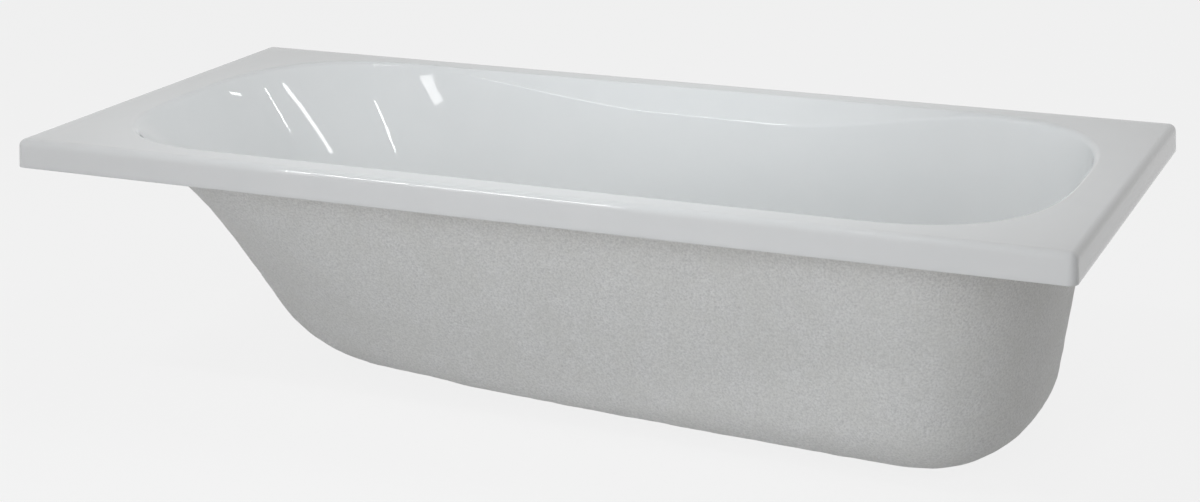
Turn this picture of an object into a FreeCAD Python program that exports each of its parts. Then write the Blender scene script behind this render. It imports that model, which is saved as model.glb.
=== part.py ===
import FreeCAD, Part
import math
import os
import re
import Sketcher
from FreeCAD import Vector

# Built-in bathtub: a thin moulded acrylic shell, backed with glass fibre, with timber under its
# rim, a board under its floor and a pop-up waste. Millimetres, +Z up, +X towards the waste end,
# origin on the ground under the middle of the rim.
doc = FreeCAD.newDocument("BuiltInBathtub")
sheet = doc.addObject("Spreadsheet::Sheet", "Dimensions")

# Driving dimensions: alias, value, meaning. Names ending in Share or Power are plain ratios.
dimensions = [
    ("rimLength", 1500, "overall length, at the lower edge of the skirt"),
    ("rimWidth", 700, "overall width, at the lower edge of the skirt"),
    ("skirtHeight", 40, "height of the turned-down edge"),
    ("skirtDraft", 4, "outward lean of the skirt, degrees"),
    ("rimUnderRadius", 3, "rounding of the rim's top edge and corners, under the backing"),
    ("acrylicThick", 4, "acrylic sheet"),
    ("fibreThick", 4, "glass fibre backing"),
    ("fibreSetback", 6, "backing stops this far above the skirt's lower edge"),
    ("headDeckWidth", 69, "deck between skirt and mouth, at the sloping end"),
    ("footDeckWidth", 62, "deck between skirt and mouth, at the waste end"),
    ("sideDeckWidth", 46, "deck between skirt and mouth, along both sides"),
    ("mouthEndLength", 250, "length of each rounded end of the mouth"),
    ("mouthPower", 2.8, "squareness of the mouth's rounded ends"),
    ("deckLip", 14, "flat ring of the deck that belongs to the basin surface"),
    ("rollUnderRadius", 2, "rounding where the deck turns down, under the backing"),
    ("crestUnderRadius", 2, "rounding at the armrest's lower edge, under the backing"),
    ("ledgeWidth", 7, "narrowest part of the sloping ledge round the mouth"),
    ("armrestWidth", 61, "widest part of that ledge, at the armrests"),
    ("armrestSlopeShare", 0.6, "fall of the armrest for each mm of width"),
    ("armrestMiddle", 15, "place of the armrests along the bath"),
    ("armrestFlat", 90, "half the length over which the armrest keeps its width"),
    ("armrestFade", 410, "length over which the armrest narrows away"),
    ("floorDepth", 346, "depth of the basin at mid length"),
    ("floorFallShare", 0.019, "fall of the floor towards the waste"),
    ("headWallRun", 250, "sloping back, from the mouth in to the corner with the floor"),
    ("footWallRun", 48, "foot wall, from the mouth in to the corner with the floor"),
    ("sideWallRun", 124, "side walls, the same at mid length"),
    ("floorTaperShare", 0.094, "widening of the floor's half width for each mm to the foot"),
    ("floorHeadLength", 300, "length of the floor's rounded head end"),
    ("floorFootLength", 160, "length of the floor's rounded foot end"),
    ("floorHeadPower", 5.7, "squareness of the floor's head end"),
    ("floorFootPower", 2.4, "squareness of the floor's foot end"),
    ("headCoveRadius", 175, "rounding between the sloping back and the floor"),
    ("sideCoveRadius", 69, "rounding between the side walls and the floor"),
    ("footCoveRadius", 66, "rounding between the foot wall and the floor"),
    ("railHeight", 22, "timber rails under the rim, upright"),
    ("railSkirtPlay", 1.2, "outer face of the rails, clear of the rounding under the rim"),
    ("railBasinPlay", 6, "inner face of the side rails, clear of the mouth"),
    ("railChamfer", 2, "broken lower edges of the rails"),
    ("boardThick", 15, "base board"),
    ("boardHeadMargin", 151, "end of the base board, in from the floor's head corner"),
    ("boardFootMargin", 110, "end of the base board, in from the floor's foot corner"),
    ("boardHeadHalfWidth", 44, "half width of the base board at the sloping end"),
    ("boardFootHalfWidth", 118, "half width of the base board at the waste end"),
    ("boardHeadRadius", 22, "corners of the base board at the sloping end"),
    ("boardFootRadius", 50, "corners of the base board at the waste end"),
    ("bedLeast", 1.5, "resin bed between board and backing, where it is thinnest"),
    ("laminateThick", 2.5, "glass fibre laid over the board"),
    ("accessPlay", 7, "hole in the board, wider than the boss under the waste"),
    ("wasteMargin", 210, "centre of the waste, in from the floor's foot corner"),
    ("recessDepth", 4, "sunk seat of the waste flange"),
    ("recessPlay", 3, "that seat, wider than the flange"),
    ("holePlay", 2.1, "hole through the shell, wider than the tail"),
    ("tailRadius", 23.9, "outside of the waste's threaded tail"),
    ("tailBore", 20.5, "bore of the waste"),
    ("tailSetback", 1, "tail stops this far above the base's underside"),
    ("tailChamfer", 0.8, "chamfer at the end of the tail"),
    ("tailReliefWidth", 0.8, "width of the groove between the back nut and the tail's free end"),
    ("tailReliefDepth", 0.8, "depth of that groove"),
    ("flangeRadius", 37, "waste flange"),
    ("flangeThick", 2.5, "waste flange"),
    ("flangeEdge", 0.8, "rounding of the flange's upper edge"),
    ("coneFlare", 4, "conical seat in the waste, wider than the bore at its mouth"),
    ("coneDepth", 4, "depth of that seat"),
    ("spiderHubWall", 3, "hub of the cross in the waste, round the barrel"),
    ("spiderHeight", 8, "height of that cross"),
    ("spiderLift", 7, "cross, above the end of the tail"),
    ("spiderArm", 2.5, "thickness of the cross's arms"),
    ("topSealThick", 1.5, "seal between flange and acrylic"),
    ("lowSealThick", 2.5, "seal under the backing"),
    ("sealMargin", 3, "both waste seals and the slip washer, in from the flange's edge"),
    ("sealPlay", 0.3, "the seals and the washer are this much wider than the tail"),
    ("slipThick", 1, "slip washer"),
    ("nutHeight", 6.5, "back nut"),
    ("nutFlats", 60, "back nut, across its flats"),
    ("nutChamfer", 1, "chamfer of the nut's corners, measured along its height"),
    ("plugTravel", 8, "lift of the plug from closed to open"),
    ("plugStop", 0.2, "room left above the collar when the plug is open"),
    ("plugMargin", 5.5, "plug cap, in from the flange's edge"),
    ("plugRise", 0.6, "plug cap, above the flange when it is closed"),
    ("plugThick", 2.6, "plug cap at its middle"),
    ("plugRim", 1.2, "plug cap at its edge"),
    ("plugLipPlay", 2.5, "lip that holds the plug's seal up, clear of the bore"),
    ("plugLipWidth", 2, "that lip, beyond the plug's hub"),
    ("plugLipThick", 1.2, "that lip, upright"),
    ("plugSealDrop", 2.6, "plug seal, below the flange's top"),
    ("plugSealPlay", 0.4, "plug seal, clear of the cone"),
    ("stemRadius", 3, "plug stem"),
    ("stemPlay", 0.05, "clearance of the stem in its guide"),
    ("stemGrip", 3, "length of the stem held in the plug cap"),
    ("barrelLift", 1, "barrel of the cartridge, above the end of the tail"),
    ("chamberRadius", 5.6, "inside of that barrel"),
    ("barrelWall", 1.4, "wall of that barrel"),
    ("guideHeight", 2, "closed top of the barrel, which guides the stem"),
    ("endCapThick", 1.5, "cap that closes the barrel's lower end"),
    ("endCapBore", 1.8, "drain hole in that cap"),
    ("springLength", 4.3, "return spring, pressed together"),
    ("springRadius", 3.6, "return spring, to the middle of its wire"),
    ("springWire", 0.35, "radius of the spring's wire"),
    ("springSeat", 0.05, "room at each end of the spring"),
    ("springTurns", 3.5, "turns of the spring"),
    ("collarPlay", 0.3, "index cam and the stem's collar, clear of the barrel"),
    ("camHeight", 2.5, "index cam"),
    ("camGap", 0.1, "between the cam and the collar"),
    ("camPlay", 0.08, "clearance of the cam on the pilot"),
    ("camNotch", 1.2, "width of the cam's notches"),
    ("camNotchDepth", 1, "depth of those notches, across the cam and along it"),
    ("collarHeight", 2, "collar of the stem"),
    ("pilotRadius", 1.5, "pilot under the collar that carries the cam"),
    ("pilotTip", 0.8, "pilot, beyond the cam"),
    ("overrun", 6, "how far a cutting shape runs past the faces it cuts"),
    ("levelTolerance", 0.000001, "heights this close count as one level"),
    ("sewingTolerance", 0.0001, "edges this close are sewn together"),
]
for row, (alias, size, meaning) in enumerate(dimensions, 1):
    sheet.set(f"A{row}", alias)
    sheet.set(f"B{row}", str(size))
    sheet.set(f"C{row}", meaning)
    sheet.setAlias(f"B{row}", alias)
doc.recompute()

# Levels and places that follow from the driving dimensions, as formulas
derived = {
    "shellThick": "acrylicThick + fibreThick",
    "rimRadius": "rimUnderRadius + shellThick",
    "rollRadius": "rollUnderRadius + shellThick",
    "crestRadius": "crestUnderRadius + shellThick",
    "mouthHeadReach": "rimLength / 2 - headDeckWidth",
    "mouthFootReach": "rimLength / 2 - footDeckWidth",
    "mouthHalfWidth": "rimWidth / 2 - sideDeckWidth",
    "floorHeadReach": "mouthHeadReach - headWallRun",
    "floorFootReach": "mouthFootReach - footWallRun",
    "floorHalfWidth": "mouthHalfWidth - sideWallRun",
    "boardHeadReach": "floorHeadReach - boardHeadMargin",
    "boardFootReach": "floorFootReach - boardFootMargin",
    "wasteReach": "floorFootReach - wasteMargin",
    "boardTop": "laminateThick + boardThick",
    "rimTop": "boardTop + bedLeast + shellThick + floorDepth + floorFallShare * boardFootReach",
    "deckUnder": "rimTop - shellThick",
    "floorUnder": "rimTop - shellThick - floorDepth",
    "seatLevel": "rimTop - floorDepth - floorFallShare * wasteReach - recessDepth",
    "bossUnder": "seatLevel - shellThick",
    "flangeUnder": "seatLevel + topSealThick",
    "flangeTop": "flangeUnder + flangeThick",
    "slipTop": "bossUnder - lowSealThick",
    "nutTop": "slipTop - slipThick",
    "nutUnder": "nutTop - nutHeight",
    "barrelUnder": "tailSetback + barrelLift",
    "springFoot": "barrelUnder + endCapThick",
    "camUnder": "springFoot + springLength",
    "collarUnder": "camUnder + camHeight + camGap",
    "collarTop": "collarUnder + collarHeight",
    "chamberTop": "collarTop + plugTravel + plugStop",
    "barrelTop": "chamberTop + guideHeight",
    "plugUnder": "flangeTop + plugRise",
    "plugSealUnder": "flangeTop - plugSealDrop",
    "plugLipUnder": "plugSealUnder - plugLipThick",
    "plugSealRadius": "coneRadius - plugSealPlay",
    "coneSlope": "coneFlare / coneDepth",
    "coneRadius": "tailBore + coneFlare",
    "ringBore": "tailRadius + sealPlay",
    "sealRadius": "flangeRadius - sealMargin",
    "recessRadius": "flangeRadius + recessPlay",
    "wasteHoleRadius": "tailRadius + holePlay",
    "accessRadius": "recessRadius + shellThick + accessPlay",
    "barrelRadius": "chamberRadius + barrelWall",
    "camRadius": "chamberRadius - collarPlay",
    "spiderHubRadius": "barrelRadius + spiderHubWall",
    "plugRadius": "flangeRadius - plugMargin",
    "plugLipRadius": "tailBore - plugLipPlay",
    "plugHubRadius": "plugLipRadius - plugLipWidth",
    "skirtLean": "tan(skirtDraft * 1 deg)",
    "railInset": "skirtLean * skirtHeight + shellThick + rimUnderRadius + railSkirtPlay",
    "railWidth": "sideDeckWidth - railInset - railBasinPlay",
    "railOuterX": "rimLength / 2 - railInset",
    "railOuterY": "rimWidth / 2 - railInset",
}
aliases = {alias for alias, size, meaning in dimensions}


def spelled(text):
    """The formula with every name replaced by its cell or its own formula."""
    def swap(found):
        word = found.group(0)
        if word in derived:
            return "(" + spelled(derived[word]) + ")"
        return "Dimensions." + word if word in aliases else word
    return re.sub(r"[A-Za-z]\w*", swap, text)


def value(text):
    return float(sheet.evalExpression(spelled(text)))


def bind(thing, prop, text):
    thing.setExpression(prop, spelled(text))


# Small helpers for bodies, sketches and primitives

def new_body(label, x="0", z="0"):
    body = doc.addObject("PartDesign::Body", label)
    body.Label = label
    bind(body, "Placement.Base.x", x)
    bind(body, "Placement.Base.z", z)
    return body


def new_sketch(body, role, level="0"):
    sketch = body.newObject("Sketcher::SketchObject", body.Name + "Sketch")
    plane = [item for item in body.Origin.OriginFeatures if item.Role == role][0]
    sketch.AttachmentSupport = (plane, [""])
    sketch.MapMode = "FlatFace"
    bind(sketch, "AttachmentOffset.Base.z", level)
    return sketch


def fix_point(sketch, line, corner):
    """Ties the start of a line to two formulas, measured from the sketch's origin."""
    for kind, axis, text in (("DistanceX", -2, corner[0]), ("DistanceY", -1, corner[1])):
        if text == "0":
            sketch.addConstraint(Sketcher.Constraint("PointOnObject", line, 1, axis))
            continue
        number = sketch.addConstraint(
            Sketcher.Constraint(kind, -1, 1, line, 1, value(text)))
        bind(sketch, f"Constraints[{number}]", text)


def draw_polygon(sketch, corners):
    """A closed outline of straight lines through corners given as pairs of formulas."""
    points = [Vector(value(x), value(y), 0) for x, y in corners]
    first = sketch.GeometryCount
    count = len(points)
    for i in range(count):
        sketch.addGeometry(Part.LineSegment(points[i], points[(i + 1) % count]), False)
    for i in range(count):
        following = first + (i + 1) % count
        sketch.addConstraint(Sketcher.Constraint("Coincident", first + i, 2, following, 1))
    for i, corner in enumerate(corners):
        fix_point(sketch, first + i, corner)


def draw_circle(sketch, radius, x="0", y="0"):
    centre = Vector(value(x), value(y), 0)
    number = sketch.addGeometry(Part.Circle(centre, Vector(0, 0, 1), value(radius)), False)
    for kind, axis, text in (("DistanceX", -2, x), ("DistanceY", -1, y)):
        if text == "0":
            sketch.addConstraint(Sketcher.Constraint("PointOnObject", number, 3, axis))
            continue
        tie = sketch.addConstraint(
            Sketcher.Constraint(kind, -1, 1, number, 3, value(text)))
        bind(sketch, f"Constraints[{tie}]", text)
    size = sketch.addConstraint(Sketcher.Constraint("Radius", number, value(radius)))
    bind(sketch, f"Constraints[{size}]", radius)


def pad(body, sketch, length, down=False, both=False):
    feature = body.newObject("PartDesign::Pad", body.Name + "Pad")
    feature.Profile = sketch
    feature.Reversed = down
    if both:
        feature.SideType = "Symmetric"
    bind(feature, "Length", length)
    return feature


def pocket(body, sketch, length, down=True):
    feature = body.newObject("PartDesign::Pocket", body.Name + "Pocket")
    feature.Profile = sketch
    feature.Reversed = not down
    bind(feature, "Length", length)
    return feature


def turned(label, corners, x="wasteReach"):
    """A body turned about its upright axis from a half section of radius and level pairs."""
    body = new_body(label, x)
    sketch = new_sketch(body, "XZ_Plane")
    draw_polygon(sketch, corners)
    feature = body.newObject("PartDesign::Revolution", label + "Turn")
    feature.Profile = sketch
    feature.ReferenceAxis = (sketch, ["V_Axis"])
    feature.Angle = 360
    return body


def dress(body, kind, edges, size):
    """A fillet or chamfer on the edges of the body's tip that the test picks."""
    doc.recompute()
    base = body.Tip
    names = [f"Edge{i}" for i, edge in enumerate(base.Shape.Edges, 1) if edges(edge)]
    feature = body.newObject("PartDesign::" + kind, body.Name + kind)
    feature.Base = (base, names)
    bind(feature, "Radius" if kind == "Fillet" else "Size", size)
    return feature


def cylinder(name, radius, height, z, x="wasteReach"):
    item = doc.addObject("Part::Cylinder", name)
    bind(item, "Radius", radius)
    bind(item, "Height", height)
    bind(item, "Placement.Base.x", x)
    bind(item, "Placement.Base.z", z)
    return item


def combine(kind, name, base, tool):
    item = doc.addObject("Part::" + kind, name)
    item.Base = base
    item.Tool = tool
    return item


def lies_at(item, level):
    """Whether an edge or face lies flat at a level."""
    box = item.BoundBox
    tolerance = value("levelTolerance")
    return abs(box.ZMin - level) < tolerance and abs(box.ZMax - level) < tolerance


def stands_at(item, x):
    """Whether an upright edge stands at a place along the bath."""
    box = item.BoundBox
    tolerance = value("levelTolerance")
    return abs(box.XMin - x) < tolerance and box.XLength + box.YLength < tolerance


# Rim: two nested blocks make each layer's deck and skirt

def rim_block(name, inset, setback):
    """A block with leaning sides: the rim's outside, moved inwards by inset."""
    shrink = f"(skirtLean * (skirtHeight - {inset}) + {inset} / cos(skirtDraft * 1 deg))"
    half_x = f"rimLength / 2 - {shrink}"
    half_y = f"rimWidth / 2 - {shrink}"
    body = new_body(name)
    sketch = new_sketch(body, "XY_Plane", f"rimTop - ({inset})")
    draw_polygon(sketch, [(f"-({half_x})", f"-({half_y})"), (half_x, f"-({half_y})"),
                          (half_x, half_y), (f"-({half_x})", half_y)])
    block = pad(body, sketch, f"skirtHeight - ({inset}) - {setback}", down=True)
    bind(block, "TaperAngle", "skirtDraft")
    lower = value(f"rimTop - skirtHeight + {setback}")
    dress(body, "Fillet", lambda edge: not lies_at(edge, lower), f"rimRadius - ({inset})")
    return body


# Basin: one smooth surface for each layer. Upright half sections stand at stations round the
# mouth; each runs over the rolled edge, down the sloping ledge or armrest, down the wall and
# round the cove to the floor. A layer lies parallel to the basin's inside.

END_STATIONS = 24
SIDE_STATIONS = 24
ROLL_STEPS = 3
COVE_STEPS = 8
WALL_SHARES = (0.2, 0.4, 0.6, 0.8)
LIP_SHARE = 0.5


def plan_outline(head_reach, foot_reach, half, taper_share, head_length, foot_length,
                 head_power, foot_power):
    """Stations round a plan: superelliptic ends joined by straight sides, then tapered."""
    stations = []
    foot_middle = foot_reach - foot_length
    head_middle = head_length - head_reach

    def rounded_end(middle, length, start, power):
        for i in range(END_STATIONS):
            angle = start + math.pi * i / END_STATIONS
            along = math.cos(angle)
            across = math.sin(angle)
            radius = (abs(along / length) ** power + abs(across / half) ** power) ** (-1 / power)
            stations.append(Vector(middle + radius * along, radius * across, 0))

    def straight_side(start, finish):
        for i in range(SIDE_STATIONS):
            stations.append(start + (finish - start) * (i / SIDE_STATIONS))

    rounded_end(foot_middle, foot_length, -math.pi / 2, foot_power)
    straight_side(Vector(foot_middle, half, 0), Vector(head_middle, half, 0))
    rounded_end(head_middle, head_length, math.pi / 2, head_power)
    straight_side(Vector(head_middle, -half, 0), Vector(foot_middle, -half, 0))
    return [Vector(at.x, at.y * (1 + taper_share * at.x / half), 0) for at in stations]


def eased(share):
    """From 0 to 1 with a soft start and end."""
    share = min(max(share, 0), 1)
    return share * share * (3 - 2 * share)


def ledge_width(x):
    """Width of the ledge round the mouth: narrow at the ends, wide at the armrests."""
    away = (abs(x - value("armrestMiddle")) - value("armrestFlat")) / value("armrestFade")
    return value("ledgeWidth") + value("armrestWidth - ledgeWidth") * (1 - eased(away))


def cove_radius(x):
    """Rounding between wall and floor: the sides' own, easing to each end's own."""
    side = value("sideCoveRadius")
    length = value("mouthEndLength")
    head = eased((length - value("mouthHeadReach") - x) / length)
    foot = eased((x + length - value("mouthFootReach")) / length)
    return (side + (value("headCoveRadius") - side) * head
            + (value("footCoveRadius") - side) * foot)


def shifted(points, distance):
    """The half section moved by distance towards its outer side, corners kept sharp."""
    runs = []
    for start, finish in zip(points[:-1], points[1:]):
        along = (finish - start).normalize()
        aside = Vector(along.y, -along.x, 0) * distance
        runs.append((start + aside, finish + aside))
    moved = [runs[0][0]]
    for (start, finish), (after, end) in zip(runs[:-1], runs[1:]):
        one = finish - start
        other = end - after
        moved.append(start + one * ((after - start).cross(other).z / one.cross(other).z))
    moved.append(runs[-1][1])
    return moved


def rounded_corner(before, corner, after, radius, steps):
    """Points on the arc that rounds a corner, from one tangent point to the other."""
    back = (before - corner).normalize()
    onward = (after - corner).normalize()
    half = back.getAngle(onward) / 2
    middle = corner + (back + onward).normalize() * (radius / math.sin(half))
    first = corner + back * (radius / math.tan(half)) - middle
    last = corner + onward * (radius / math.tan(half)) - middle
    turn = first.getAngle(last)
    arc = []
    for i in range(steps + 1):
        share = i / steps
        blend = first * math.sin((1 - share) * turn) + last * math.sin(share * turn)
        arc.append(middle + blend * (1 / math.sin(turn)))
    return arc


def half_section(ledge, run, cove, depth):
    """Points down one station, as distance in from the mouth and height, for one layer."""
    lip = value("deckLip")
    floor_depth = value("floorDepth")
    corners = [Vector(-lip, 0, 0), Vector(0, 0, 0),
               Vector(ledge, -ledge * value("armrestSlopeShare"), 0),
               Vector(run, -floor_depth, 0), Vector(run + floor_depth, -floor_depth, 0)]
    start, mouth, crest, toe, floor = shifted(corners, depth)
    roll = rounded_corner(start, mouth, crest, value("rollRadius") - depth, ROLL_STEPS)
    edge = rounded_corner(mouth, crest, toe, value("crestRadius") - depth, ROLL_STEPS)
    arc = rounded_corner(crest, toe, floor, cove + depth, COVE_STEPS)
    wall = [edge[-1] + (arc[0] - edge[-1]) * share for share in WALL_SHARES]
    return [start, start + (roll[0] - start) * LIP_SHARE] + roll + edge + wall + arc


def basin_surface(depth):
    """The basin's smooth surface at a depth into the shell, from its deck lip to its floor."""
    length = value("mouthEndLength")
    mouth = plan_outline(value("mouthHeadReach"), value("mouthFootReach"),
                         value("mouthHalfWidth"), 0, length, length,
                         value("mouthPower"), value("mouthPower"))
    floor = plan_outline(value("floorHeadReach"), value("floorFootReach"),
                         value("floorHalfWidth"), value("floorTaperShare"),
                         value("floorHeadLength"), value("floorFootLength"),
                         value("floorHeadPower"), value("floorFootPower"))
    fall = value("floorFallShare / floorDepth")
    top = value("rimTop")
    poles = []
    for upper, lower in zip(mouth, floor):
        inward = lower - upper
        run = inward.Length
        inward = inward.normalize()
        row = []
        for point in half_section(ledge_width(upper.x), run, cove_radius(upper.x), depth):
            place = upper + inward * point.x
            drop = fall * place.x * (-point.y - depth)
            row.append(Vector(place.x, place.y, top + point.y - drop))
        poles.append(row)
    stations = len(poles)
    steps = len(poles[0])
    surface = Part.BSplineSurface()
    surface.buildFromPolesMultsKnots(
        poles, [1] * (stations + 1), [4] + [1] * (steps - 4) + [4],
        list(range(stations + 1)), list(range(steps - 2)), True, False, 3, 3)
    return surface.toShape()


def shell_layer(name, inner, outer, outside, inside):
    """One layer of the shell as a single closed solid: deck, skirt, basin and floor."""
    tray = outside.Shape.cut(inside.Shape)
    faces = []
    decks = []
    for depth in (inner, outer):
        level = value("rimTop") - depth
        deck = [face for face in tray.Faces if lies_at(face, level)][0]
        basin = basin_surface(depth)
        rings = sorted((edge for edge in basin.Edges if edge.isClosed()),
                       key=lambda edge: edge.BoundBox.ZMin)
        floor_ring, mouth_ring = rings
        floor = Part.Face(Part.Wire([floor_ring]))
        holed = Part.makeFace([deck.OuterWire, Part.Wire([mouth_ring])],
                              "Part::FaceMakerBullseye")
        faces += [basin, floor, holed]
        decks.append(deck)
    faces += [face for face in tray.Faces if not any(face.isSame(deck) for deck in decks)]
    skin = Part.Compound(faces)
    skin.sewShape(value("sewingTolerance"))
    solid = Part.Solid(skin.Shells[0])
    if solid.Volume < 0:
        solid.reverse()
    item = doc.addObject("Part::Feature", name)
    item.Shape = solid
    return item


def waste_seat(name, layer, depth, thick):
    """The layer with a level, sunk seat for the waste and the hole through it."""
    under = f"seatLevel - ({depth}) - {thick}"
    boss = cylinder(name + "Boss", f"recessRadius + ({depth}) + {thick}",
                    f"recessDepth + {thick} / 2", under)
    sink = cylinder(name + "Sink", f"recessRadius + ({depth})",
                    "recessDepth + overrun + shellThick", f"seatLevel - ({depth})")
    hole = cylinder(name + "Hole", "wasteHoleRadius",
                    f"{thick} + 2 * overrun", f"{under} - overrun")
    raised = combine("Fuse", name + "Raised", layer, boss)
    sunk = combine("Cut", name + "Sunk", raised, sink)
    result = combine("Cut", name + "Drilled", sunk, hole)
    return result


outside = rim_block("RimOutside", "0", "0")
between = rim_block("RimBetween", "acrylicThick", "0")
backing_out = rim_block("BackingOutside", "acrylicThick", "fibreSetback")
backing_in = rim_block("BackingInside", "shellThick", "fibreSetback")
doc.recompute()

acrylic = value("acrylicThick")
shell = value("shellThick")
moulding = shell_layer("AcrylicMoulding", 0, acrylic, outside, between)
layup = shell_layer("FibreLayup", acrylic, shell, backing_out, backing_in)
acrylic_shell = waste_seat("Acrylic", moulding, "0", "acrylicThick")
acrylic_shell.Label = "acrylic_shell"
fibreglass_backing = waste_seat("Fibre", layup, "acrylicThick", "fibreThick")
fibreglass_backing.Label = "fibreglass_backing"


# Timber rails bonded under the deck, the end rails butted between the long ones

def rail(label, low_x, high_x, low_y, high_y):
    body = new_body(label)
    sketch = new_sketch(body, "XY_Plane", "deckUnder")
    draw_polygon(sketch, [(low_x, low_y), (high_x, low_y), (high_x, high_y), (low_x, high_y)])
    pad(body, sketch, "railHeight", down=True)
    lower = value("deckUnder - railHeight")
    dress(body, "Chamfer", lambda edge: lies_at(edge, lower), "railChamfer")
    return body


inner_x = "railOuterX - railWidth"
inner_y = "railOuterY - railWidth"
front_rim_rail = rail("front_rim_rail", "-(railOuterX)", "railOuterX",
                      "-(railOuterY)", f"-({inner_y})")
rear_rim_rail = rail("rear_rim_rail", "-(railOuterX)", "railOuterX", inner_y, "railOuterY")
head_rim_rail = rail("head_rim_rail", "-(railOuterX)", f"-({inner_x})",
                     f"-({inner_y})", inner_y)
foot_rim_rail = rail("foot_rim_rail", inner_x, "railOuterX", f"-({inner_y})", inner_y)


# Base: a level board on a resin bed under the falling floor, laid over with glass fibre

def board_outline(name, growth, level, height):
    """An upright prism on the board's tapering plan, grown sideways."""
    head = f"-(boardHeadReach + {growth})"
    foot = f"boardFootReach + {growth}"
    narrow = f"boardHeadHalfWidth + {growth}"
    wide = f"boardFootHalfWidth + {growth}"
    body = new_body(name)
    sketch = new_sketch(body, "XY_Plane", level)
    draw_polygon(sketch, [(head, f"-({narrow})"), (foot, f"-({wide})"),
                          (foot, wide), (head, narrow)])
    pad(body, sketch, height)
    for end, radius in ((foot, "boardFootRadius"), (head, "boardHeadRadius")):
        at = value(end)
        dress(body, "Fillet", lambda edge: stands_at(edge, at), f"{radius} + {growth}")
    access = new_sketch(body, "XY_Plane", f"{level} - overrun")
    draw_circle(access, "accessRadius", "wasteReach")
    pocket(body, access, f"{height} + 2 * overrun", down=False)
    return body


def under_floor(name, level):
    """Everything between a level and the falling underside of the shell's floor."""
    head = "-(boardHeadReach + 2 * overrun)"
    foot = "boardFootReach + 2 * overrun"
    body = new_body(name)
    sketch = new_sketch(body, "XZ_Plane")
    draw_polygon(sketch, [(head, level), (foot, level),
                          (foot, f"floorUnder - floorFallShare * ({foot})"),
                          (head, f"floorUnder - floorFallShare * ({head})")])
    pad(body, sketch, "rimWidth", both=True)
    return body


tall = "boardTop + floorDepth"
base_board = board_outline("base_board", "0", "laminateThick", "boardThick")
bed_prism = board_outline("BedPrism", "0", "boardTop", tall)
base_bedding = combine("Common", "Bedding", bed_prism, under_floor("BedRoom", "boardTop"))
base_bedding.Label = "base_bedding"
wrap_prism = board_outline("WrapPrism", "laminateThick", "0", tall)
core_prism = board_outline("CorePrism", "0", "laminateThick", tall)
wrap = combine("Common", "Wrap", wrap_prism, under_floor("WrapRoom", "0"))
base_laminate = combine("Cut", "Laminate", wrap, core_prism)
base_laminate.Label = "base_laminate"

# Waste fitting, clamped through the shell's floor

waste_ring = turned("WasteRing", [
    ("tailBore", "tailSetback"), ("tailRadius - tailChamfer", "tailSetback"),
    ("tailRadius", "tailSetback + tailChamfer"), ("tailRadius", "nutUnder - tailReliefWidth"),
    ("tailRadius - tailReliefDepth", "nutUnder - tailReliefWidth"),
    ("tailRadius - tailReliefDepth", "nutUnder"), ("tailRadius", "nutUnder"),
    ("tailRadius", "flangeUnder"),
    ("flangeRadius", "flangeUnder"), ("flangeRadius", "flangeTop - flangeEdge"),
    ("flangeRadius - flangeEdge", "flangeTop"), ("coneRadius", "flangeTop"),
    ("tailBore", "flangeTop - coneDepth")])
spider_hub = turned("SpiderHub", [
    ("barrelRadius", "tailSetback + spiderLift"), ("spiderHubRadius", "tailSetback + spiderLift"),
    ("spiderHubRadius", "tailSetback + spiderLift + spiderHeight"),
    ("barrelRadius", "tailSetback + spiderLift + spiderHeight")])


def spider_arm(name, length, width):
    item = doc.addObject("Part::Box", name)
    bind(item, "Length", length)
    bind(item, "Width", width)
    bind(item, "Height", "spiderHeight")
    bind(item, "Placement.Base.x", f"wasteReach - ({length}) / 2")
    bind(item, "Placement.Base.y", f"-({width}) / 2")
    bind(item, "Placement.Base.z", "tailSetback + spiderLift")
    return item


span = "tailBore + tailRadius"
cross = combine("Fuse", "Cross", spider_arm("ArmAlong", span, "spiderArm"),
                spider_arm("ArmAcross", "spiderArm", span))
core = cylinder("CrossBore", "barrelRadius", "spiderHeight + 2 * overrun",
                "tailSetback + spiderLift - overrun")
arms = combine("Cut", "Arms", cross, core)
waste_body = doc.addObject("Part::MultiFuse", "WasteBody")
waste_body.Shapes = [waste_ring, spider_hub, arms]
waste_body.Label = "waste_body"


def washer(label, outer, under, upper):
    return turned(label, [("ringBore", under), (outer, under), (outer, upper),
                          ("ringBore", upper)])


waste_top_seal = washer("waste_top_seal", "sealRadius", "seatLevel", "flangeUnder")
waste_bottom_seal = washer("waste_bottom_seal", "sealRadius", "slipTop", "bossUnder")
waste_slip_washer = washer("waste_slip_washer", "sealRadius", "nutTop", "slipTop")

nut_cone = turned("NutCone", [
    ("tailRadius", "nutUnder"), ("nutFlats / 2", "nutUnder"),
    ("nutFlats / 2 + 2 * nutChamfer", "nutUnder + nutChamfer"),
    ("nutFlats / 2 + 2 * nutChamfer", "nutTop - nutChamfer"), ("nutFlats / 2", "nutTop"),
    ("tailRadius", "nutTop")])
nut_prism = doc.addObject("Part::Prism", "NutPrism")
nut_prism.Polygon = 6
bind(nut_prism, "Circumradius", "nutFlats / 2 / cos(30 deg)")
bind(nut_prism, "Height", "nutHeight")
bind(nut_prism, "Placement.Base.x", "wasteReach")
bind(nut_prism, "Placement.Base.z", "nutUnder")
waste_back_nut = combine("Common", "BackNut", nut_cone, nut_prism)
waste_back_nut.Label = "waste_back_nut"

# Click-clack cartridge: barrel, end cap, spring, index cam and the plug's stem

cartridge_barrel = turned("cartridge_barrel", [
    ("chamberRadius", "barrelUnder"), ("barrelRadius", "barrelUnder"),
    ("barrelRadius", "barrelTop"), ("stemRadius + stemPlay", "barrelTop"),
    ("stemRadius + stemPlay", "chamberTop"), ("chamberRadius", "chamberTop")])
cartridge_end_cap = turned("cartridge_end_cap", [
    ("endCapBore", "barrelUnder"), ("chamberRadius", "barrelUnder"),
    ("chamberRadius", "springFoot"), ("endCapBore", "springFoot")])

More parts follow.
